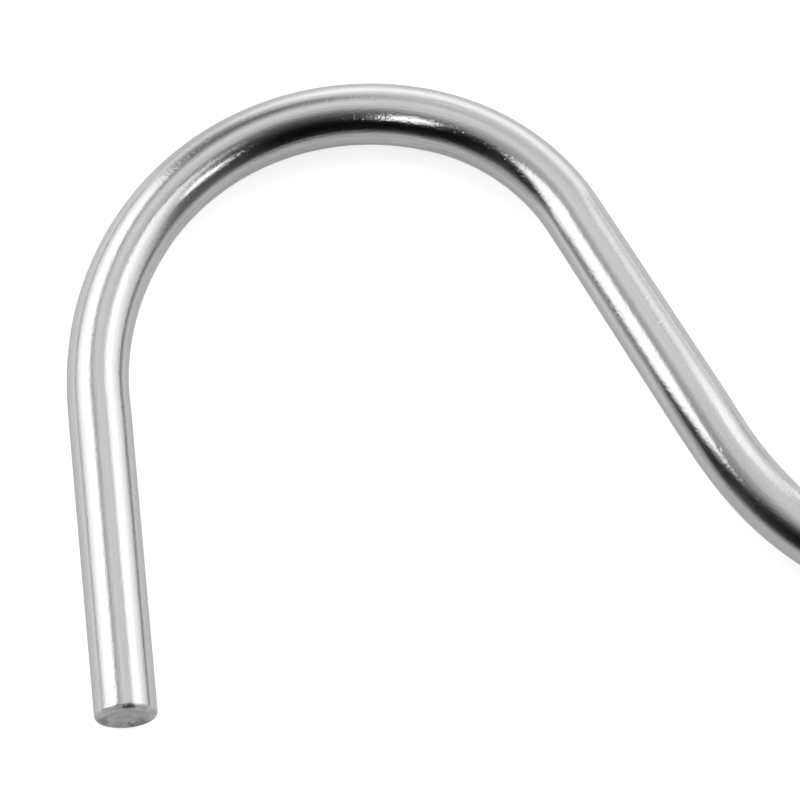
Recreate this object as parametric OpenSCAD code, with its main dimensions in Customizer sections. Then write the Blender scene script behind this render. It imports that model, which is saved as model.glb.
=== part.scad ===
// S hook, bent cold from one length of round stainless wire. Sizes are in millimetres.
// It lies flat on the floor: the wire's centreline stays at one height, both legs run
// along Y, and the origin is on the floor under the middle of the hook's outline.
// Hook A ends in the leg that points along -Y, hook B in the leg that points along +Y.

/* [Wire] */
// Diameter of the wire as it comes off the coil
wire_d = 4; // [3:0.25:6]
// Thinning in a bend: this share of the thickness, times (wire_d / bend radius) squared
bend_thinning = 0.5; // [0.1:0.1:0.8]
// Rounding that tumbling leaves on the rim of each cut end
rim_round = 0.3; // [0.1:0.05:1]

/* [Both hooks] */
// Turn of each hook, from its leg round to the shank, in degrees
hook_turn = 154; // [130:1:175]
// Length over which a straight thins where it runs into a bend
fade = 2.5; // [1:0.5:5]

/* [Hook A] */
// Straight leg, from the cut end to the bend
leg_a = 21.25; // [8:0.25:60]
// Centreline radius of the bend beside the leg, where it springs open
a_open_r = 19; // [12:0.5:40]
// Turn at that radius, in degrees
a_open_turn = 36; // [10:1:50]
// Centreline radius over the crown, where the rail sits
a_crown_r = 17; // [12:0.5:40]
// Turn over the crown, in degrees
a_crown_turn = 74; // [40:1:75]
// Centreline radius beside the shank, where the wire is drawn tight round its former
a_tight_r = 14; // [10:0.5:30]

/* [Shank] */
// Straight length between the two bends
shank = 17.5; // [10:0.5:60]
// Length of the shank that stays drawn thin beside the tight end of hook A
shank_fade = 14; // [4:0.5:30]

/* [Hook B] */
// Centreline radius of the easy lead from the shank into the bend
b_lead_r = 25; // [16:0.5:50]
// Turn of that lead, in degrees
b_lead_turn = 14; // [5:1:40]
// Centreline radius of the rest of the bend, where the load hangs
b_crown_r = 16; // [12:0.5:40]
// Straight leg, from the bend to the cut end
leg_b = 21.25; // [8:0.25:60]

/* [Hidden] */
$fn = 96;

// A thinner step of the wire runs on this far inside its thicker neighbour, so the two are one body
lap = 0.3;
// and the thicker one stands proud of it by this much all round
proud = 0.01;

// The wire step by step, from cut end A to cut end B: [centreline radius, turn], or
// [STRAIGHT, length]. A clockwise turn is negative.
STRAIGHT = 0;
steps = [
  [STRAIGHT, leg_a],
  [a_open_r, -a_open_turn],
  [a_crown_r, -a_crown_turn],
  [a_tight_r, a_open_turn + a_crown_turn - hook_turn],
  [STRAIGHT, shank],
  [b_lead_r, b_lead_turn],
  [b_crown_r, hook_turn - b_lead_turn],
  [STRAIGHT, leg_b]
];
last = len(steps) - 1;

function is_straight(i) = steps[i][0] == STRAIGHT;
function turn_of(i) = is_straight(i) ? 0 : steps[i][1];

// Thickness in a bend. Every second bend is a hair thinner, so that equal radii still lap.
function bend_d(i) =
  wire_d * (1 - bend_thinning * pow(wire_d / steps[i][0], 2)) - 2 * proud * ((i + 1) % 2);

// Where step i ends, if it starts at the origin and heads along +X
function run_of(i) =
  let (r = steps[i][0], a = abs(turn_of(i)))
  is_straight(i) ? [steps[i][1], 0] : [r * sin(a), sign(turn_of(i)) * r * (1 - cos(a))];

function turned(v, a) = [v.x * cos(a) - v.y * sin(a), v.x * sin(a) + v.y * cos(a)];

// Start of step i: [x, y, heading]. The first leg heads along +Y from its cut end.
function start_of(i) =
  i == 0 ? [0, 0, 90] :
  let (p = start_of(i - 1), q = turned(run_of(i - 1), p.z))
  [p.x + q.x, p.y + q.y, p.z + turn_of(i - 1)];

// A bend crosses the heading 0 at its crown, the highest or lowest point of the outline
function has_crown(i) =
  let (h = start_of(i).z)
  !is_straight(i) && h * (h + turn_of(i)) <= 0;
function crown_y(i) =
  let (p = start_of(i), s = sign(turn_of(i)), r = steps[i][0])
  p.y - s * r * (1 - cos(p.z)) - s * bend_d(i) / 2;

end_b = start_of(last + 1);
outline_y = concat([0, end_b.y], [for (i = [0 : last]) if (has_crown(i)) crown_y(i)]);
middle = [end_b.x / 2, (min(outline_y) + max(outline_y)) / 2];

// Straight wire along +X that thins to d1 at its start and to d2 at its end
module straight(length, d1, fade1, d2, fade2) {
  full = wire_d / 2;
  rotate([0, 90, 0])
    rotate_extrude()
      polygon([[0, 0], [d1 / 2, 0], [full, fade1], [full, length - fade2], [d2 / 2, length], [0, length]]);
}

// Leg along +X from a cut end with a rounded rim to a bend of thickness d
module leg(length, d) {
  full = wire_d / 2;
  flat = full - rim_round;
  rotate([0, 90, 0])
    rotate_extrude() {
      polygon([[0, 0], [flat, 0], [full, rim_round], [full, length - fade], [d / 2, length], [0, length]]);
      translate([flat, rim_round])
        circle(r = rim_round);
    }
}

function lap_into(i, neighbour) =
  is_straight(neighbour) || bend_d(i) < bend_d(neighbour) ? lap : 0;

// Bend i, starting at the origin along +X, with its laps into both neighbours
module bend(i) {
  r = steps[i][0];
  turn = turn_of(i);
  back = lap_into(i, i - 1) / r * 180 / PI;
  on = lap_into(i, i + 1) / r * 180 / PI;
  from = turn > 0 ? -90 - back : 90 + turn - on;
  translate([0, sign(turn) * r, 0])
    rotate_extrude(angle = abs(turn) + back + on, start = from)
      translate([r, 0])
        circle(d = bend_d(i));
}

// Thickness at the end of a straight, just proud of the bend that laps into it
function mouth_d(i) = bend_d(i) + 2 * proud;

module step(i) {
  if (i == 0)
    leg(leg_a, mouth_d(1));
  else if (i == last)
    translate([leg_b, 0, 0])
      rotate([0, 0, 180])
        leg(leg_b, mouth_d(last - 1));
  else if (is_straight(i))
    straight(shank, mouth_d(i - 1), min(shank_fade, shank - fade), mouth_d(i + 1), fade);
  else
    bend(i);
}

module s_hook() {
  color([0.78, 0.78, 0.77])
    translate([-middle.x, -middle.y, wire_d / 2])
      for (i = [0 : last])
        let (p = start_of(i))
          translate([p.x, p.y, 0])
            rotate([0, 0, p.z])
              step(i);
}

s_hook();
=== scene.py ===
# %% [markdown]
# # An S hook, bent from one length of drawn stainless wire
# The real thing is a single piece: a straight, drawn, polished wire is cut to length in a
# shear and bent cold round a few pins. This lesson does the same in Blender. It models the
# straight blank first, then bends it with a node tree, then gives it the finish that drawing,
# polishing, bending and shearing leave behind.
#
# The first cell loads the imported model, which is the frame that everything else must fit.

# %% Load the frame
import math

import bpy
from mathutils import Matrix, Vector


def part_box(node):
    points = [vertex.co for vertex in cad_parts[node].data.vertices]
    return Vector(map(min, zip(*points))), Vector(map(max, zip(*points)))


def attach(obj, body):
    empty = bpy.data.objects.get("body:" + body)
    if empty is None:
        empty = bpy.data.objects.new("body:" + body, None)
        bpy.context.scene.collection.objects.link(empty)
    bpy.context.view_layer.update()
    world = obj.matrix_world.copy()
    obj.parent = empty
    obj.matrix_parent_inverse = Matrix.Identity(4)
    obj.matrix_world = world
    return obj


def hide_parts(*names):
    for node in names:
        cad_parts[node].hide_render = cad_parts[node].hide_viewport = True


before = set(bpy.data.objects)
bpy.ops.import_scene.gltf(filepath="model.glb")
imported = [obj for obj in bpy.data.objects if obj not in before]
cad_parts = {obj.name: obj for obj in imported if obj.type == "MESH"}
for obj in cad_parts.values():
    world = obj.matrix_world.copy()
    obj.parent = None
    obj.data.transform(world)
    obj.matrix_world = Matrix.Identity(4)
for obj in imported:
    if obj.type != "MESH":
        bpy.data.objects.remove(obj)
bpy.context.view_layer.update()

hook_low, hook_high = (Vector(corner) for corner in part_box("s_hook"))
hook_middle = (hook_low + hook_high) / 2
hook_size = hook_high - hook_low
print("hook:", " x ".join(f"{side * 1000:.2f}" for side in hook_size), "mm")

# %% [markdown]
# ## The sizes of the hook
# A bender feeds wire forwards and turns it, feeds and turns, and that short list of runs is
# the whole shape. Each run is a length along the wire's middle and the angle that it turns
# through, anticlockwise counted positive, seen from above. A straight run turns through
# nothing. Writing the hook down in this way keeps the wire's length true, which a curve
# drawn by eye wouldn't do.

# %% List the runs of the bend
MM = 0.001
WIRE = 4.0 * MM          # the drawn wire's thickness
THINNING = 0.5           # share of (thickness over bend radius) squared that a bend loses
RIM = 0.36 * MM          # rounding of the cut ends' rims, after some rubbing
HOOK_TURN = 154          # how far each hook turns back, in degrees


def arc(radius, turn):
    """A bend: the length of wire that it takes, and its turn in radians."""
    return radius * MM * math.radians(abs(turn)), math.radians(turn)


RUNS = {
    "leg A": (21.25 * MM, 0.0),
    "opening bend A": arc(19, -36),
    "crown bend A": arc(17, -74),
    "closing bend A": arc(14, 36 + 74 - HOOK_TURN),
    "shank": (17.5 * MM, 0.0),
    "opening bend B": arc(25, 14),
    "crown bend B": arc(16, HOOK_TURN - 14),
    "leg B": (21.25 * MM, 0.0),
}
BLANK = sum(length for length, _ in RUNS.values())
print(f"blank: {BLANK / MM:.2f} mm of wire in {len(RUNS)} runs")

# %% [markdown]
# ## Small helpers for node trees
# Both the bending tree and the materials are made in this script, node by node. A few short
# functions keep that readable. One adds a node, and one feeds a socket with either a plain
# value or another node's output. The others are the sums that come back again and again.

# %% Define the tree helpers


def add(tree, kind, **settings):
    """A new node, set up and placed to the right of the last one."""
    node = tree.nodes.new(kind)
    node.location = (190 * (len(tree.nodes) % 24), -260 * (len(tree.nodes) // 24))
    for name, value in settings.items():
        setattr(node, name, value)
    return node


def feed(tree, socket, value):
    """Joins a socket to another node's output, or writes a plain value into it."""
    if isinstance(value, bpy.types.NodeSocket):
        tree.links.new(value, socket)
    else:
        socket.default_value = value


def calc(tree, operation, *values):
    """One sum: ADD, MULTIPLY, SINE and so on."""
    node = add(tree, "ShaderNodeMath", operation=operation)
    for socket, value in zip(node.inputs, values):
        feed(tree, socket, value)
    return node.outputs[0]


def total(tree, values):
    """The sum of a list of values."""
    result, *others = values
    for value in others:
        result = calc(tree, "ADD", result, value)
    return result


def product(tree, *values):
    """Any number of values multiplied together."""
    result, *others = values
    for value in others:
        result = calc(tree, "MULTIPLY", result, value)
    return result


def ramp(tree, value, start, end, low=0.0, high=1.0, shape="LINEAR"):
    """Goes from low to high while the value goes from start to end, and stays flat outside."""
    node = add(tree, "ShaderNodeMapRange", interpolation_type=shape)
    for socket, given in zip(node.inputs[:5], (value, start, end, low, high)):
        feed(tree, socket, given)
    return node.outputs[0]


def join(tree, x, y, z):
    """Three values made into one vector."""
    node = add(tree, "ShaderNodeCombineXYZ")
    for socket, value in zip(node.inputs, (x, y, z)):
        feed(tree, socket, value)
    return node.outputs[0]


def split(tree, vector):
    """The three values of a vector."""
    node = add(tree, "ShaderNodeSeparateXYZ")
    feed(tree, node.inputs[0], vector)
    return node.outputs


# %% [markdown]
# Geometry can carry values under a name, on every vertex or corner. One helper writes such a
# value and one reads it back.

# %% Define the named values


def store(tree, geometry, name, kind, domain, value):
    """Writes a value on the geometry under a name."""
    node = add(tree, "GeometryNodeStoreNamedAttribute", data_type=kind, domain=domain)
    feed(tree, node.inputs["Geometry"], geometry)
    node.inputs["Name"].default_value = name
    feed(tree, node.inputs["Value"], value)
    return node.outputs[0]


def recall(tree, name, kind="FLOAT"):
    """Reads a value that the geometry carries under a name."""
    node = add(tree, "GeometryNodeInputNamedAttribute", data_type=kind)
    node.inputs["Name"].default_value = name
    return node.outputs["Attribute"]


# %% [markdown]
# ## The bending tree and its inputs
# The tree has two halves. The first makes the wire's middle line. The second makes the
# straight blank from a grid that is rolled into a bar, with flat ends and rounded rims, and
# then moves every vertex of it from the straight bar to the bent line. Nothing is swept along
# a curve, so the ends keep their modelled faces.
#
# Every size is a named input: the wire, its rims, how fine the mesh is, and two for each run.

# %% Open the bending tree
INPUTS = {
    "Wire thickness": "NodeSocketFloat",
    "Rim rounding": "NodeSocketFloat",
    "Bend thinning": "NodeSocketFloat",
    "Rings": "NodeSocketInt",
    "Sides": "NodeSocketInt",
    "Steel": "NodeSocketMaterial",
    "Cut steel": "NodeSocketMaterial",
    "Cut relief": "NodeSocketFloat",
    "Seed": "NodeSocketFloat",
}
for run in RUNS:
    INPUTS[f"{run}, length"] = INPUTS[f"{run}, turn"] = "NodeSocketFloat"

bender = bpy.data.node_groups.new("bend wire", "GeometryNodeTree")
bender.interface.new_socket("Geometry", in_out="OUTPUT", socket_type="NodeSocketGeometry")
for name, kind in INPUTS.items():
    bender.interface.new_socket(name, in_out="INPUT", socket_type=kind)
sizes = add(bender, "NodeGroupInput").outputs
thickness, rim, rings = sizes["Wire thickness"], sizes["Rim rounding"], sizes["Rings"]
print("bending tree:", len(INPUTS), "inputs")

# %% [markdown]
# ## The rule that bends the wire
# How far round has the wire turned, at a distance `along` from the tip of leg A? Every run
# adds its own turn, bit by bit, while `along` passes through it, and that is one Map Range
# node each. The direction is then known everywhere.

# %% Find the direction everywhere along the wire
FIRST_HEADING = math.pi / 2     # leg A starts along +Y

along = recall(bender, "along")
borders = [0.0]
for run in RUNS:
    borders.append(calc(bender, "ADD", borders[-1], sizes[f"{run}, length"]))
wire_length = borders[-1]
turned = [
    ramp(bender, along, start, end, 0.0, sizes[f"{run}, turn"])
    for run, start, end in zip(RUNS, borders, borders[1:])
    if RUNS[run][1] != 0.0
]
heading = calc(bender, "ADD", total(bender, turned), FIRST_HEADING)
cosine, sine = calc(bender, "COSINE", heading), calc(bender, "SINE", heading)
print("heading:", len(turned), "bends")

# %% [markdown]
# The thickness follows the same idea. Wire that is bent hard is stretched on its outside, so
# seen from above it grows thinner, by half the square of its thickness over the bend's
# radius. It changes over a short stretch, because the bending pin's pressure fades out, and
# over most of the shank, which was pulled while the second hook was bent.

# %% Find the share of its width that the wire keeps
SHORT_FADE = (1.0 * MM, 1.0 * MM)
FADES = {               # how far the thinning fades before and after a border of two runs
    ("leg A", "opening bend A"): (1.0 * MM, 1.5 * MM),
    ("closing bend A", "shank"): (0.0, 14.0 * MM),
    ("shank", "opening bend B"): (2.0 * MM, 1.0 * MM),
    ("crown bend B", "leg B"): (1.5 * MM, 1.0 * MM),
}


def lost_in(run):
    """The share of its width that the wire loses in a run, which is none if it is straight."""
    if RUNS[run][1] == 0.0:
        return 0.0
    turn = calc(bender, "ABSOLUTE", sizes[f"{run}, turn"])
    radius = calc(bender, "DIVIDE", sizes[f"{run}, length"], turn)
    squared = calc(bender, "POWER", calc(bender, "DIVIDE", thickness, radius), 2.0)
    return calc(bender, "MULTIPLY", sizes["Bend thinning"], squared)


lost = {run: lost_in(run) for run in RUNS}
changes = []
for run, next_run, border in zip(RUNS, list(RUNS)[1:], borders[1:]):
    before, after = FADES.get((run, next_run), SHORT_FADE)
    start, end = calc(bender, "SUBTRACT", border, before), calc(bender, "ADD", border, after)
    change = calc(bender, "SUBTRACT", lost[run], lost[next_run])
    changes.append(ramp(bender, along, start, end, 0.0, change))
kept_share = calc(bender, "ADD", total(bender, changes), 1.0)
print("width:", len(changes), "changes along the wire")

# %% [markdown]
# ## The middle line
# A row of points is a short step apart. Each point knows its place along the wire, and so its
# heading, and Accumulate Field adds the steps up, each in its own direction. The row is then
# made a curve, because a curve can be asked for the place at any length.

# %% Walk the middle line
STEP = 0.05 * MM

steps = calc(bender, "ROUND", calc(bender, "DIVIDE", wire_length, STEP))
step = calc(bender, "DIVIDE", wire_length, steps)
row = add(bender, "GeometryNodeMeshLine")
feed(bender, row.inputs["Count"], calc(bender, "ADD", steps, 1.0))
index = add(bender, "GeometryNodeInputIndex").outputs[0]
half_way = calc(bender, "MULTIPLY", calc(bender, "ADD", index, 0.5), step)
numbered = store(bender, row.outputs[0], "along", "FLOAT", "POINT", half_way)

walked = add(bender, "GeometryNodeAccumulateField", data_type="FLOAT_VECTOR")
step_x, step_y = calc(bender, "MULTIPLY", cosine, step), calc(bender, "MULTIPLY", sine, step)
feed(bender, walked.inputs["Value"], join(bender, step_x, step_y, 0.0))
laid_out = add(bender, "GeometryNodeSetPosition")
feed(bender, laid_out.inputs["Geometry"], numbered)
feed(bender, laid_out.inputs["Position"], walked.outputs["Trailing"])
middle_line = add(bender, "GeometryNodeMeshToCurve")
feed(bender, middle_line.inputs["Mesh"], laid_out.outputs[0])
print(f"middle line: about {BLANK / STEP:.0f} steps")

# %% [markdown]
# ## The blank
# The blank is a grid. Its rows become rings and its columns go round the bar. Counted from
# the nearer end, the first rings lie across the cut face, the next ones go round its rim, and
# all the others run along the bar. From that count come a ring's reach out from the middle
# and its depth in from the end.

# %% Roll a grid into the blank
FACE_RINGS = 18          # rings across each cut face
RIM_RINGS = 8            # rings round each rounded rim
END_RINGS = float(FACE_RINGS + RIM_RINGS)

grid = add(bender, "GeometryNodeMeshGrid")
feed(bender, grid.inputs["Size X"], 1.0)
feed(bender, grid.inputs["Size Y"], 1.0)
feed(bender, grid.inputs["Vertices X"], rings)
feed(bender, grid.inputs["Vertices Y"], calc(bender, "ADD", sizes["Sides"], 1.0))
grid_uv = grid.outputs["UV Map"]
unrolled = store(bender, grid.outputs["Mesh"], "UVMap", "FLOAT2", "CORNER", grid_uv)
on_grid = split(bender, add(bender, "GeometryNodeInputPosition").outputs[0])
last = calc(bender, "SUBTRACT", rings, 1.0)
ring = calc(bender, "ROUND", calc(bender, "MULTIPLY", calc(bender, "ADD", on_grid[0], 0.5), last))
turn_round = calc(bender, "MULTIPLY", calc(bender, "ADD", on_grid[1], 0.5), 2 * math.pi)
from_end = calc(bender, "MINIMUM", ring, calc(bender, "SUBTRACT", last, ring))
at_far_end = calc(bender, "GREATER_THAN", ring, calc(bender, "MULTIPLY", last, 0.5))

# %% Find each ring's reach and depth
on_face = ramp(bender, from_end, 0.0, float(FACE_RINGS))
on_rim = ramp(bender, from_end, float(FACE_RINGS), END_RINGS, 0.0, math.pi / 2)
on_side = calc(bender, "MAXIMUM", calc(bender, "SUBTRACT", from_end, END_RINGS), 0.0)
straight = calc(bender, "SUBTRACT", wire_length, calc(bender, "MULTIPLY", rim, 2.0))
side_step = calc(bender, "DIVIDE", straight, calc(bender, "SUBTRACT", last, 2.0 * END_RINGS))

half_wire = calc(bender, "MULTIPLY", thickness, 0.5)
flat = calc(bender, "SUBTRACT", half_wire, rim)
rim_out = calc(bender, "MULTIPLY", rim, calc(bender, "SINE", on_rim))
not_yet_in = calc(bender, "COSINE", on_rim)
rim_in = calc(bender, "MULTIPLY", rim, calc(bender, "SUBTRACT", 1.0, not_yet_in))
reach = calc(bender, "ADD", calc(bender, "MULTIPLY", flat, on_face), rim_out)
depth = calc(bender, "ADD", rim_in, calc(bender, "MULTIPLY", on_side, side_step))
across = calc(bender, "MULTIPLY", reach, calc(bender, "COSINE", turn_round))
upward = calc(bender, "MULTIPLY", reach, calc(bender, "SINE", turn_round))
print(f"each end: {FACE_RINGS} rings on the face and {RIM_RINGS} on the rim")

# %% [markdown]
# The shear tears the cut face into shallow patches, deepest away from the rim. A noise with a
# fixed seed gives them, and it is read at another height for the second end, so that the two
# faces differ. Before it is bent, each vertex remembers its place in the straight blank. The
# finish reads that, so the drawing lines run along the wire and round every bend as the real
# ones do.

# %% Tear the cut faces and remember the blank
END_SHIFT = 0.37         # how far apart the two ends read the noise
SMOOTH_EDGE = 0.72       # the patches fade out over the face's outermost rings

far_seed = calc(bender, "MULTIPLY", calc(bender, "ADD", at_far_end, sizes["Seed"]), END_SHIFT)
patches = add(bender, "ShaderNodeTexNoise", noise_dimensions="3D")
feed(bender, patches.inputs["Vector"], join(bender, across, upward, far_seed))
feed(bender, patches.inputs["Scale"], 900.0)
feed(bender, patches.inputs["Detail"], 3.0)
feed(bender, patches.inputs["Roughness"], 0.55)
torn = ramp(bender, patches.outputs[0], 0.36, 0.64)
inner = ramp(bender, from_end, float(FACE_RINGS), FACE_RINGS * SMOOTH_EDGE)
depth = calc(bender, "ADD", depth, product(bender, torn, inner, sizes["Cut relief"]))

from_far_end = calc(bender, "MULTIPLY", at_far_end, calc(bender, "SUBTRACT", wire_length, depth))
from_near_end = calc(bender, "MULTIPLY", calc(bender, "SUBTRACT", 1.0, at_far_end), depth)
station = calc(bender, "ADD", from_far_end, from_near_end)
blank = store(bender, unrolled, "along", "FLOAT", "POINT", station)
in_blank = join(bender, across, upward, station)
blank = store(bender, blank, "blank", "FLOAT_VECTOR", "POINT", in_blank)
blank = store(bender, blank, "side_on", "FLOAT", "POINT", from_end)

# %% [markdown]
# ## The bend
# Each vertex asks the middle line for the place at its own distance along the wire, and moves
# there, and then out from it: sideways, square to the heading and by the share of its width
# that the wire keeps, and up or down as it was. The wire lies on the floor, so its middle is
# half a thickness up.

# %% Move the blank onto the bent line
asked = add(bender, "GeometryNodeSampleCurve", mode="LENGTH", use_all_curves=True)
feed(bender, asked.inputs["Curves"], middle_line.outputs[0])
feed(bender, asked.inputs["Length"], along)
out = split(bender, recall(bender, "blank", "FLOAT_VECTOR"))
aside = calc(bender, "MULTIPLY", out[0], kept_share)
offset = join(
    bender,
    calc(bender, "MULTIPLY", calc(bender, "MULTIPLY", sine, aside), -1.0),
    calc(bender, "MULTIPLY", cosine, aside),
    calc(bender, "ADD", out[1], half_wire),
)
landing = add(bender, "ShaderNodeVectorMath", operation="ADD")
feed(bender, landing.inputs[0], asked.outputs["Position"])
feed(bender, landing.inputs[1], offset)
bent = add(bender, "GeometryNodeSetPosition")
feed(bender, bent.inputs["Geometry"], blank)
feed(bender, bent.inputs["Position"], landing.outputs[0])

# %% [markdown]
# Last, the seam and the two poles are closed, the bar is shaded smooth, and the two finishes
# are handed out: sheared steel on the faces and most of the rims, polished steel on the rest.

# %% Close the wire and hand out the finishes
WELD = 1e-7              # vertices nearer than this become one
SHEARED_SHARE = 0.75     # the share of the rim that belongs to the sheared face

welded = add(bender, "GeometryNodeMergeByDistance")
feed(bender, welded.inputs["Geometry"], bent.outputs[0])
feed(bender, welded.inputs["Distance"], WELD)
smooth = add(bender, "GeometryNodeSetShadeSmooth")
feed(bender, smooth.inputs["Geometry"], welded.outputs[0])
whole = add(bender, "GeometryNodeRealizeInstances")
feed(bender, whole.inputs["Geometry"], smooth.outputs[0])
polished = add(bender, "GeometryNodeSetMaterial")
feed(bender, polished.inputs["Geometry"], whole.outputs[0])
feed(bender, polished.inputs["Material"], sizes["Steel"])
sheared = add(bender, "GeometryNodeSetMaterial")
feed(bender, sheared.inputs["Geometry"], polished.outputs[0])
sheared_rings = FACE_RINGS + SHEARED_SHARE * RIM_RINGS
near_face = calc(bender, "LESS_THAN", recall(bender, "side_on"), sheared_rings)
feed(bender, sheared.inputs["Selection"], near_face)
feed(bender, sheared.inputs["Material"], sizes["Cut steel"])
feed(bender, add(bender, "NodeGroupOutput").inputs[0], sheared.outputs[0])
print("bending tree:", len(bender.nodes), "nodes")

# %% [markdown]
# ## The finish of the drawn wire
# Stainless wire is pulled through a die, which leaves fine lines along it, and then polished
# bright. Bare metal has no colour of its own to speak of: what is seen is the room, bent and
# blurred by the surface. So this material is mostly about shape at a tiny scale. Each layer
# is a bump with a cause of its own, and all but the first are thousandths of a millimetre:
#
# - sag: bending pulled the shank down by about half a millimetre against the two hooks. That
#   is too little to see as a shape, and less than the frame's flat hook has room for, but the
#   steel mirrors it, because the surface tilts by up to three degrees at the shank's ends;
# - waves: the slight waviness of bar that was polished by hand;
# - lines: what the die left, deepest on the inside of the bend, where the wire was dragged
#   round the pin, so there they can be seen in the colour as well;
# - streaks and pits: where the pin was pressed hardest, in a strip along the inside of bend A
#   and down the shank, and hardly anywhere else;
# - grain: the polish itself, which makes the edges of the reflections slightly rough;
# - four single nicks and scratches from handling.
#
# All of it is laid out on the straight blank in millimetres: across it, up, and along it from
# the tip of leg A. First come the helpers that both finishes share.

# %% Start a metal


def carried(tree, name):
    """What the mesh carries under a name, as a material reads it."""
    return add(tree, "ShaderNodeAttribute", attribute_type="GEOMETRY", attribute_name=name)


def new_steel(name):
    """A metal shader, and the blank's coordinates in millimetres to hang patterns on."""
    material = bpy.data.materials.new(name)
    material.use_nodes = True
    tree = material.node_tree
    shader = tree.nodes["Principled BSDF"]
    feed(tree, shader.inputs["Metallic"], 1.0)
    in_mm = add(tree, "ShaderNodeVectorMath", operation="SCALE")
    feed(tree, in_mm.inputs[0], carried(tree, "blank").outputs["Vector"])
    feed(tree, in_mm.inputs["Scale"], 1 / MM)
    return material, tree, shader, in_mm.outputs[0]


def blend(tree, factor, dark, light):
    """A grey between two levels."""
    node = add(tree, "ShaderNodeMix", data_type="RGBA")
    feed(tree, node.inputs["Factor"], factor)
    for socket in node.inputs:
        if socket.type == "RGBA":
            level = dark if socket.identifier.startswith("A") else light
            feed(tree, socket, (level, level, level, 1))
    return next(socket for socket in node.outputs if socket.type == "RGBA")


# %% Define the patterns
FRAYING = 2.4            # how far a noise pushes the edge of a ragged mark in and out


def noise(tree, vector, scale, detail, roughness, stretch):
    """Noise on the blank's coordinates, drawn out along an axis where its stretch is small."""
    mapping = add(tree, "ShaderNodeMapping")
    feed(tree, mapping.inputs["Vector"], vector)
    feed(tree, mapping.inputs["Scale"], stretch)
    node = add(tree, "ShaderNodeTexNoise", noise_dimensions="3D")
    feed(tree, node.inputs["Vector"], mapping.outputs[0])
    feed(tree, node.inputs["Scale"], scale)
    feed(tree, node.inputs["Detail"], detail)
    feed(tree, node.inputs["Roughness"], roughness)
    return node.outputs[0]


def mark(tree, vector, where, reach, ragged=None):
    """One at a place on the blank, and nothing past its reach across, up and along."""
    apart = add(tree, "ShaderNodeVectorMath", operation="SUBTRACT")
    feed(tree, apart.inputs[0], vector)
    feed(tree, apart.inputs[1], where)
    scaled = add(tree, "ShaderNodeVectorMath", operation="DIVIDE")
    feed(tree, scaled.inputs[0], apart.outputs[0])
    feed(tree, scaled.inputs[1], reach)
    measured = add(tree, "ShaderNodeVectorMath", operation="LENGTH")
    feed(tree, measured.inputs[0], scaled.outputs[0])
    far = measured.outputs["Value"]
    if ragged is not None:
        frayed = calc(tree, "MULTIPLY", calc(tree, "SUBTRACT", ragged, 0.5), FRAYING)
        far = calc(tree, "ADD", far, frayed)
    return ramp(tree, far, 0.5, 1.0, 1.0, 0.0)


def pile_up(tree, layers):
    """Bumps laid on one another, given as (height, how many millimetres high) pairs."""
    surface = None
    for height, millimetres in layers:
        node = add(tree, "ShaderNodeBump")
        feed(tree, node.inputs["Strength"], 1.0)
        feed(tree, node.inputs["Distance"], millimetres * MM)
        feed(tree, node.inputs["Height"], height)
        if surface is not None:
            feed(tree, node.inputs["Normal"], surface)
        surface = node.outputs[0]
    return surface


# %% [markdown]
# The sag is two smooth steps, one at each end of the shank. The zones where the pin dragged
# and pressed are soft-edged marks, and a list gives the nicks and scratches one by one.

# %% Lay out the marks of bending and handling
SAG = [                  # where a step starts and ends along the blank, and how far it rises
    (54.0, 67.5, -0.48),
    (78.0, 93.5, 0.60),
]
DRAGGED = (-1.9, 0.3, 50.0), (1.6, 1.8, 26.0)      # where a mark is, and how far it reaches
PRESSED = (-1.1, 1.6, 61.0), (0.9, 0.9, 20.0)
PITS_ELSEWHERE = 0.12    # how much of the streaks and pits is found outside the pressed strip
NICKS = [
    ((0.45, 1.95, 75.5), (0.22, 0.22, 0.09)),
    ((-0.8, 1.8, 84.5), (0.12, 0.12, 0.25)),
    ((0.8, 1.8, 40.0), (0.15, 0.15, 0.20)),
    ((0.6, 1.9, 55.5), (0.12, 0.12, 1.60)),
]

drawn_steel, tree, shader, place = new_steel("drawn polished steel")
along_blank = split(tree, place)[2]
sag = total(tree, [
    ramp(tree, along_blank, start, end, 0.0, rise, "SMOOTHSTEP")
    for start, end, rise in SAG
])
dragged = mark(tree, place, *DRAGGED)
pressed = calc(tree, "MAXIMUM", mark(tree, place, *PRESSED), PITS_ELSEWHERE)
nicks = [mark(tree, place, where, reach) for where, reach in NICKS]
print("marks:", len(SAG), "steps of sag,", len(nicks), "nicks and scratches")

# %% Make the polished finish
LINES_ELSEWHERE = 0.5    # how deep the drawing lines are where the wire wasn't dragged
SHADE_ELSEWHERE = 0.25   # and how much of them the colour shows there

waves = noise(tree, place, 0.9, 2.0, 0.5, stretch=(1, 1, 0.45))
lines = noise(tree, place, 8.0, 3.0, 0.65, stretch=(1, 1, 0.014))
grain = noise(tree, place, 9.0, 2.0, 0.6, stretch=(1, 1, 0.5))
streaks = noise(tree, place, 4.5, 2.0, 0.6, stretch=(1, 1, 0.3))
cells = add(tree, "ShaderNodeTexVoronoi")
feed(tree, cells.inputs["Vector"], place)
feed(tree, cells.inputs["Scale"], 4.0)
pits = ramp(tree, cells.outputs["Distance"], 0.08, 0.26, 1.0, 0.0)

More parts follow.
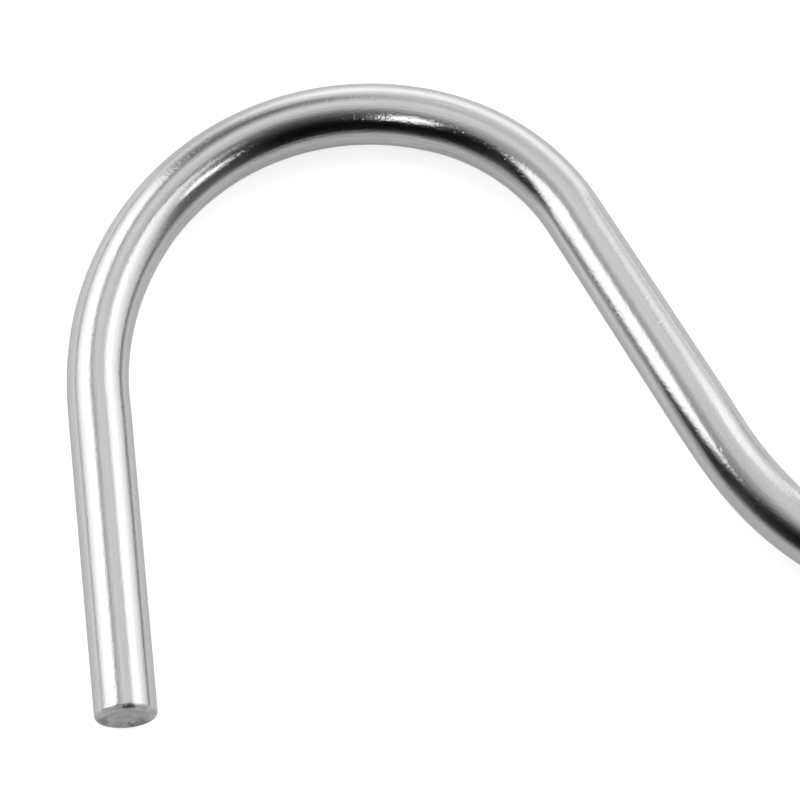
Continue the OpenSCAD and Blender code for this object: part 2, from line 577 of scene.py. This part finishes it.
line_depth = calc(tree, "MULTIPLY", lines, calc(tree, "ADD", dragged, LINES_ELSEWHERE))
surface = pile_up(tree, [
    (sag, 1.0),
    (waves, 0.012),
    (line_depth, 0.004),
    (calc(tree, "MULTIPLY", streaks, pressed), 0.004),
    (grain, 0.0085),
    (calc(tree, "MULTIPLY", pits, pressed), 0.005),
    *((nick, 0.006) for nick in nicks),
])
feed(tree, shader.inputs["Normal"], surface)
shown = calc(tree, "ADD", dragged, SHADE_ELSEWHERE)
line_shade = calc(tree, "MULTIPLY", calc(tree, "SUBTRACT", lines, 0.5), shown)
shade = blend(tree, ramp(tree, line_shade, -0.2, 0.2), 0.50, 0.70)
feed(tree, shader.inputs["Base Color"], shade)
feed(tree, shader.inputs["Roughness"], ramp(tree, grain, 0.3, 0.7, 0.11, 0.18))
print("polished finish:", len(tree.nodes), "nodes")

# %% [markdown]
# ## The finish of the cut ends
# The shear leaves a duller, torn face. The same metal scatters the light much more there, and
# small facets stand at different angles. Two patches near the rim are darker. The rim has been
# rubbed evener, so it is rougher, and its colour is painted paler there as a painted highlight,
# apart from one smoother spot at the top that is painted darker, a painted reflection of the
# room's dark side.

# %% Make the sheared finish
DARK_PATCHES = [                # where on the blank, and how far each reaches
    ((1.55, -0.4, 0.2), (0.7, 0.9, 2.0)),
    ((-1.15, -1.2, 0.2), (1.0, 0.8, 2.0)),
]
# A spot at the top of the rim, smoother and painted darker: a painted reflection of the room's
# dark side.
PAINTED_DARK_SPOT = (-0.15, 1.85, 0.25), (0.55, 0.35, 0.45)

sheared_steel, tree, shader, place = new_steel("sheared steel")
facets = noise(tree, place, 1.5, 4.0, 0.6, stretch=(1, 1, 0.2))
tears = noise(tree, place, 7.0, 3.0, 0.6, stretch=(1.0, 0.35, 0.2))
feed(tree, shader.inputs["Normal"], pile_up(tree, [(facets, 0.12), (tears, 0.014)]))

# Two patches near the rim, darker in colour.
dark_patches = calc(tree, "MAXIMUM", *(mark(tree, place, *dark_patch, ragged=facets) for dark_patch in DARK_PATCHES))
painted_dark_spot = mark(tree, place, *PAINTED_DARK_SPOT, ragged=tears)
rings_in = carried(tree, "side_on").outputs["Fac"]
# The rim: rubbed rougher, and painted paler as a painted highlight.
rubbed_and_painted_pale = ramp(tree, rings_in, FACE_RINGS - 2.0, FACE_RINGS + 2.0)

level = ramp(tree, facets, 0.35, 0.62, 0.40, 0.58)
level = calc(tree, "SUBTRACT", level, calc(tree, "MULTIPLY", dark_patches, 0.20))
level = calc(tree, "ADD", level, calc(tree, "MULTIPLY", rubbed_and_painted_pale, 0.28))
# The spot's colour is painted darker, a painted reflection of the room's dark side.
outside_painted_dark_spot = calc(tree, "SUBTRACT", 1.0, calc(tree, "MULTIPLY", painted_dark_spot, 0.55))
level = calc(tree, "MULTIPLY", level, outside_painted_dark_spot)
feed(tree, shader.inputs["Base Color"], blend(tree, level, 0.0, 1.0))
torn_rough = ramp(tree, tears, 0.3, 0.7, 0.30, 0.44)
rim_rough = product(tree, rubbed_and_painted_pale, 0.34, calc(tree, "SUBTRACT", 1.0, painted_dark_spot))
feed(tree, shader.inputs["Roughness"], calc(tree, "ADD", torn_rough, rim_rough))
print("sheared finish:", len(tree.nodes), "nodes")

# %% [markdown]
# ## Bending the blank
# An empty mesh carries the tree as a modifier. Its inputs are filled in by identifier, which
# stays the same if a label changes, and only then is the result evaluated and copied to a
# plain mesh.

# %% Bend the wire
values = {
    "Wire thickness": WIRE,
    "Rim rounding": RIM,
    "Bend thinning": THINNING,
    "Rings": 820,        # one for every fifth of a millimetre along the wire
    "Sides": 96,
    "Steel": drawn_steel,
    "Cut steel": sheared_steel,
    "Cut relief": 0.08 * MM,
    "Seed": 4.0,         # another seed tears the faces in another way
}
for run, (run_length, run_turn) in RUNS.items():
    values[f"{run}, length"], values[f"{run}, turn"] = run_length, run_turn

carrier = bpy.data.objects.new("blank", bpy.data.meshes.new("blank"))
bpy.context.scene.collection.objects.link(carrier)
modifier = carrier.modifiers.new("bend", "NODES")
modifier.node_group = bender
for item in bender.interface.items_tree:
    if item.in_out == "INPUT":
        modifier[item.identifier] = values[item.name]

bpy.context.view_layer.update()
evaluated = carrier.evaluated_get(bpy.context.evaluated_depsgraph_get())
wire_mesh = bpy.data.meshes.new_from_object(evaluated)
bpy.data.objects.remove(carrier)
wire_mesh.name = "hook_wire"
wire = bpy.data.objects.new("hook_wire", wire_mesh)
bpy.context.scene.collection.objects.link(wire)
print("wire:", len(wire_mesh.vertices), "vertices")

# %% [markdown]
# The middle of the outline is now put where the frame's hook is. The tree walks a bend in
# finer steps than the frame's own mesh does, so it comes out a few thousandths of a
# millimetre bigger, and one small factor brings it back inside the frame's box.

# %% Put the wire where the frame has it


def corners(mesh):
    """The lowest and highest corner of a mesh."""
    sides = list(zip(*(vertex.co for vertex in mesh.vertices)))
    return Vector(map(min, sides)), Vector(map(max, sides))


low, high = corners(wire_mesh)
fit = min(1.0, *(room / made for room, made in zip(hook_size, high - low)))
made_at = Vector(((low.x + high.x) / 2, (low.y + high.y) / 2, low.z))
wanted_at = Vector((hook_middle.x, hook_middle.y, hook_low.z))
for vertex in wire_mesh.vertices:
    vertex.co = wanted_at + (vertex.co - made_at) * fit

low, high = corners(wire_mesh)
outside = max(*(hook_low - low), *(high - hook_high))
print("wire:", " x ".join(f"{side / MM:.3f}" for side in high - low), "mm")
print(f"trimmed by {1 - fit:.5f}, outside the frame by {outside / MM:.4f} mm")

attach(wire, "root")
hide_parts("s_hook")

# %% [markdown]
# ## The floor
# Product shots are often made on a sheet of white acrylic. Seen from above it is a pale,
# slightly glossy floor. Seen at a low angle it turns into a mirror, as all glossy plastic
# does, and the polished wire sees it at a low angle all along its sides. Layer Weight mixes
# the mirror in there.

# %% Lay the floor
bpy.ops.mesh.primitive_plane_add(size=6.0, location=(0, 0, hook_low.z))
floor = bpy.context.object
floor.name = "floor"
acrylic = bpy.data.materials.new("white acrylic sheet")
acrylic.use_nodes = True
tree = acrylic.node_tree
plastic = tree.nodes["Principled BSDF"]
feed(tree, plastic.inputs["Base Color"], (0.66, 0.66, 0.66, 1))
feed(tree, plastic.inputs["Roughness"], 0.08)
mirror = add(tree, "ShaderNodeBsdfGlossy")
feed(tree, mirror.inputs["Color"], (0.80, 0.80, 0.80, 1))
feed(tree, mirror.inputs["Roughness"], 0.08)
facing = add(tree, "ShaderNodeLayerWeight").outputs["Facing"]
low_angle = ramp(tree, facing, 0.68, 0.90, 0.0, 0.5, "SMOOTHSTEP")
acrylic_face = add(tree, "ShaderNodeMixShader")
for socket, value in zip(acrylic_face.inputs, (low_angle, plastic.outputs[0], mirror.outputs[0])):
    feed(tree, socket, value)

# %% [markdown]
# To the camera the floor reads as white, through Light Path, and the mirror rays from the
# steel see some of that white too. The lit part is added to it, so the hook's shadow stays.

# %% Make the floor read as white
WHITE_TO_CAMERA = 0.74
WHITE_TO_STEEL = 0.22

rays = add(tree, "ShaderNodeLightPath").outputs
mirrored = calc(tree, "MAXIMUM", rays["Is Glossy Ray"], rays["Is Transmission Ray"])
mirrored = calc(tree, "MULTIPLY", mirrored, calc(tree, "SUBTRACT", 1.0, low_angle))
to_camera = calc(tree, "MULTIPLY", rays["Is Camera Ray"], WHITE_TO_CAMERA)
to_steel = calc(tree, "MULTIPLY", mirrored, WHITE_TO_STEEL)
white = add(tree, "ShaderNodeEmission")
feed(tree, white.inputs["Color"], (1, 1, 1, 1))
feed(tree, white.inputs["Strength"], calc(tree, "ADD", to_camera, to_steel))
both = add(tree, "ShaderNodeAddShader")
feed(tree, both.inputs[0], acrylic_face.outputs[0])
feed(tree, both.inputs[1], white.outputs[0])
feed(tree, tree.nodes["Material Output"].inputs["Surface"], both.outputs[0])
floor.data.materials.append(acrylic)
print("floor:", len(tree.nodes), "nodes")

# %% [markdown]
# ## The light
# Polished wire shows the whole room, so the room is what has to be right. Two tall soft
# panels stand to the left and right, run away from the camera at an angle, and lean in over
# the hook, the right one a little askew on its stand. First come the helpers that hang a lamp
# and aim it. An area lamp's power is spread over its face, so a face that looks as bright as
# a white wall needs pi watts for each square metre.

# %% Hang and aim a lamp


def hang(name, width, height, brightness):
    """A rectangular lamp; its own node tree is ready for a ramp."""
    lamp = bpy.data.lights.new(name, "AREA")
    lamp.shape, lamp.size, lamp.size_y = "RECTANGLE", width, height
    lamp.energy = math.pi * width * height
    lamp.use_nodes = True
    glow = lamp.node_tree.nodes["Emission"]
    feed(lamp.node_tree, glow.inputs["Strength"], brightness)
    thing = bpy.data.objects.new(name, lamp)
    bpy.context.scene.collection.objects.link(thing)
    thing.visible_camera = False
    return thing


def aim(thing, middle, away, up):
    """Puts a lamp at a point, with its back turned to `away` and its top edge towards `up`."""
    right = up.cross(away).normalized()
    turn = Matrix((right, away.cross(right), away)).transposed()
    thing.matrix_world = Matrix.Translation(middle) @ turn.to_4x4()


# %% [markdown]
# Each panel has a black back, as real ones have. Without it the room behind would shine
# through the lamp. The same black cloth covers a card that comes later.

# %% Cover a card in black cloth
BACK_GAP = 0.01          # from a panel's face to its back

black_cloth = bpy.data.materials.new("black cloth")
black_cloth.use_nodes = True
cloth = black_cloth.node_tree.nodes["Principled BSDF"]
feed(black_cloth.node_tree, cloth.inputs["Base Color"], (0.01, 0.01, 0.01, 1))
feed(black_cloth.node_tree, cloth.inputs["Roughness"], 1.0)


def black_card(name, card_corners):
    """A card covered in black cloth, which the camera itself doesn't see."""
    mesh = bpy.data.meshes.new(name)
    mesh.from_pydata(card_corners, [], [range(len(card_corners))])
    mesh.materials.append(black_cloth)
    card = bpy.data.objects.new(name, mesh)
    bpy.context.scene.collection.objects.link(card)
    card.visible_camera = False


def back_up(thing):
    """Puts a black back behind a lamp."""
    across, upward = thing.data.size / 2, thing.data.size_y / 2
    square = [(-across, -upward), (across, -upward), (across, upward), (-across, upward)]
    behind = [thing.matrix_world @ Vector((*point, BACK_GAP)) for point in square]
    black_card(thing.name + " back", behind)


# %% [markdown]
# A real panel is brightest where its lamp is and fades towards its edges, and the steel shows
# that fade, so each panel's brightness is a ramp over its own height and width.
#
# A panel is given by the two floor points that its top edge stands over, the nearer one
# first, counted in panel heights. Its lower edge is farther out, so it leans in over the hook.

# %% Define a soft panel
PANEL_HEIGHT = 1.5
SKY = Vector((0, 0, 1))


def stops(tree, value, levels):
    """A ramp through several (where, level) pairs, where no level is above one."""
    node = add(tree, "ShaderNodeValToRGB")
    feed(tree, node.inputs[0], value)
    points = node.color_ramp.elements
    points.remove(points[1])
    (first, first_level), *others = levels
    points[0].position, points[0].color = first, (first_level, first_level, first_level, 1)
    for where, level in others:
        points.new(where).color = (level, level, level, 1)
    return node.outputs[0]


def stand(name, near, far, lean, roll):
    """Stands an even panel up, facing the hook, and gives it its back."""
    near = Vector((*near, 0)) * PANEL_HEIGHT
    far = Vector((*far, 0)) * PANEL_HEIGHT
    lean, roll = math.radians(lean), math.radians(roll)
    lengthwise = (far - near).normalized()
    inward = lengthwise.cross(SKY)
    if inward.dot(near + far) > 0:
        inward = -inward
    upward = SKY * math.cos(lean) + inward * math.sin(lean)
    height = PANEL_HEIGHT / math.cos(lean)
    middle = (near + far) / 2 + SKY * PANEL_HEIGHT - upward * height / 2
    away = lengthwise.cross(upward)
    if away.dot(middle) <= 0:
        away = upward.cross(lengthwise)
    rolled = upward * math.cos(roll) - lengthwise * math.sin(roll)
    thing = hang(name, (far - near).length, height, 1.0)
    aim(thing, middle, away, rolled)
    back_up(thing)
    print(name, f"{(far - near).length:.2f} x {height:.2f} m")
    return thing


def fade(thing, level, heights, widths):
    """Fades a panel over its height and its width, from its level down."""
    tree = thing.data.node_tree
    spot = split(tree, add(tree, "ShaderNodeNewGeometry").outputs["Parametric"])
    share = calc(tree, "MULTIPLY", stops(tree, spot[1], heights), stops(tree, spot[0], widths))
    glow = calc(tree, "MULTIPLY", share, level)
    feed(tree, tree.nodes["Emission"].inputs["Strength"], glow)


# %% Put up the soft panels
left_panel = stand("left panel", (-0.84, -0.36), (-0.357, 0.987), lean=15, roll=0)
fade(
    left_panel, 1.85,
    heights=[(0.0, 0.0), (0.02, 0.15), (0.05, 0.50), (0.10, 0.58), (0.18, 0.68),
             (0.34, 0.88), (0.50, 0.97), (0.65, 1.0), (0.90, 0.94), (1.0, 0.72)],
    widths=[(0.0, 0.85), (0.09, 0.92), (0.20, 1.0), (0.88, 1.0), (1.0, 0.50)],
)
right_panel = stand("right panel", (0.327, -0.174), (0.72, 0.90), lean=8, roll=8)
fade(
    right_panel, 1.78,
    heights=[(0.0, 0.42), (0.06, 0.54), (0.15, 0.63), (0.27, 0.78),
             (0.42, 0.93), (0.58, 1.0), (0.85, 1.0), (1.0, 0.84)],
    widths=[(0.0, 0.30), (0.06, 0.52), (0.12, 0.76), (0.24, 0.92),
            (0.42, 1.0), (0.66, 0.94), (1.0, 0.62)],
)

# %% [markdown]
# A black card with a slanted top stands in front of the left panel's nearer end. It ends the
# panel's reflection in a point where the second bend starts, as a card cut to a slope does on
# a real set, and darkens the floor in front of it.

# %% Put up the black card
card_foot = [(-0.645, -0.086, 0.0), (-0.589, -0.275, 0.0)]
card_top = [(-0.589, -0.275, 0.75), (-0.640, -0.113, 0.17), (-0.645, -0.086, 0.17)]
black_card("slanted card", card_foot + card_top)

# %% [markdown]
# Two small lamps stand on the camera's side. Each makes a short bright glint on the inside of
# the bend, in the middle of the dark part.

# %% Put up the small lamps


def small_lamp(name, azimuth, from_top, width, height, level):
    """A small lamp a metre away; azimuth from +X, the other angle down from straight above."""
    azimuth, from_top = math.radians(azimuth), math.radians(from_top)
    away = Vector((
        math.sin(from_top) * math.cos(azimuth),
        math.sin(from_top) * math.sin(azimuth),
        math.cos(from_top),
    ))
    thing = hang(name, width, height, level)
    aim(thing, hook_middle + away, away, Vector((0, 1, 0)))


small_lamp("near lamp", -109, 35.5, 0.17, 0.29, 2.9)
small_lamp("side lamp", -33, 49.5, 0.20, 0.31, 2.2)

# %% [markdown]
# ## The room
# The rest of what the steel shows is the room itself. It is made as the world's colour, by
# direction. A direction has three parts: how far it points to the side, to the back and up.
#
# There is a pale sweep at the back, brightest low down, that turns into a grey ceiling, and
# darkness on the camera's side, which gives the bends their black edge.

# %% Paint the sweep and the dark side
world = bpy.data.worlds.new("studio room")
bpy.context.scene.world = world
world.use_nodes = True
tree = world.node_tree
to_side, to_back, rise = split(tree, add(tree, "ShaderNodeTexCoord").outputs["Generated"])

sweep = ramp(tree, rise, 0.08, 0.66, 1.48, 0.75, "SMOOTHSTEP")
ceiling = ramp(tree, rise, 0.62, 0.90, 0.0, 0.19, "SMOOTHSTEP")
slant = calc(tree, "MULTIPLY", to_side, ramp(tree, rise, 0.80, 0.93, 0.0, -0.56))
front_to_back = calc(tree, "MULTIPLY", calc(tree, "ADD", to_back, slant), 0.5)
behind = stops(tree, calc(tree, "ADD", front_to_back, 0.5), [
    (0.0, 0.012), (0.12, 0.015), (0.25, 0.06), (0.33, 0.17), (0.42, 0.36),
    (0.46, 0.55), (0.50, 0.74), (0.58, 0.88), (0.67, 1.0),
])

# %% [markdown]
# Between the left panel and the sweep there is a dim gap, which narrows and fades towards the
# ceiling. High up beside the left panel the room is a little darker, and so is the far right.

# %% Paint the gap and the sides
past_side = calc(tree, "MULTIPLY", to_side, 0.91)
past_panel = calc(tree, "ADD", past_side, calc(tree, "MULTIPLY", to_back, 0.415))
gap_start = ramp(tree, rise, 0.45, 0.62, 0.14, 0.30)
gap_width = ramp(tree, past_panel, gap_start, 0.40, 1.0, 0.0)
gap_depth = stops(tree, rise, [
    (0.0, 0.30), (0.15, 0.38), (0.30, 0.60), (0.45, 0.74), (0.64, 0.76),
    (0.70, 0.70), (0.765, 0.50), (0.83, 0.12), (0.87, 0.0),
])
gap = calc(tree, "SUBTRACT", 1.0, calc(tree, "MULTIPLY", gap_width, gap_depth))

panel_side = ramp(tree, to_side, -0.36, -0.08, 1.0, 0.0, "SMOOTHSTEP")
by_panel = calc(tree, "MULTIPLY", panel_side, ramp(tree, rise, 0.72, 0.88, 0.0, 0.46))
right_dim = ramp(tree, to_side, 0.40, 0.80, 1.05, 0.84)
sides = calc(tree, "SUBTRACT", right_dim, by_panel)
right_glow = ramp(tree, to_side, 0.45, 0.80, 0.0, 0.09)

# %% [markdown]
# The parts are multiplied into one level. The camera itself sees plain white wherever the
# floor ends.

# %% Put the room together
level = product(tree, calc(tree, "ADD", sweep, ceiling), behind, gap)
level = calc(tree, "ADD", calc(tree, "MULTIPLY", level, sides), right_glow)
to_camera = add(tree, "ShaderNodeLightPath").outputs["Is Camera Ray"]
to_steel = calc(tree, "MULTIPLY", level, calc(tree, "SUBTRACT", 1.0, to_camera))
background = tree.nodes["Background"]
feed(tree, background.inputs["Color"], (1, 1, 1, 1))
feed(tree, background.inputs["Strength"], calc(tree, "ADD", to_steel, to_camera))
print("room:", len(tree.nodes), "nodes")

# %% [markdown]
# ## The camera
# A long lens, well above the hook and a little to its left, keeps the wire the same width
# all the way round. The camera looks down on the hook because it lies flat. Leg A and bend A
# fill the picture, and the second bend runs out of it to the right.

# %% Set up the camera
azimuth, elevation, roll = math.radians(-8.330), math.radians(68.812), math.radians(-3.464)
distance = 0.82792
target = hook_middle + Vector((-0.016217, -0.001203, 0.0))

backward = Vector((
    math.sin(azimuth) * math.cos(elevation),
    -math.cos(azimuth) * math.cos(elevation),
    math.sin(elevation),
))
level_right = Vector((math.cos(azimuth), math.sin(azimuth), 0))
level_up = backward.cross(level_right)
right_way = level_right * math.cos(roll) - level_up * math.sin(roll)
up_way = backward.cross(right_way)

camera_data = bpy.data.cameras.new("camera")
camera_data.sensor_width = 36.0
camera_data.lens = 592.2
camera = bpy.data.objects.new("camera", camera_data)
bpy.context.scene.collection.objects.link(camera)
pose = Matrix((right_way, up_way, backward)).transposed().to_4x4()
pose.translation = target + backward * distance
camera.matrix_world = pose
bpy.context.scene.camera = camera
bpy.context.scene.view_settings.view_transform = "Standard"
print(f"camera: {camera_data.lens:.0f} mm lens, {distance:.2f} m from the hook")
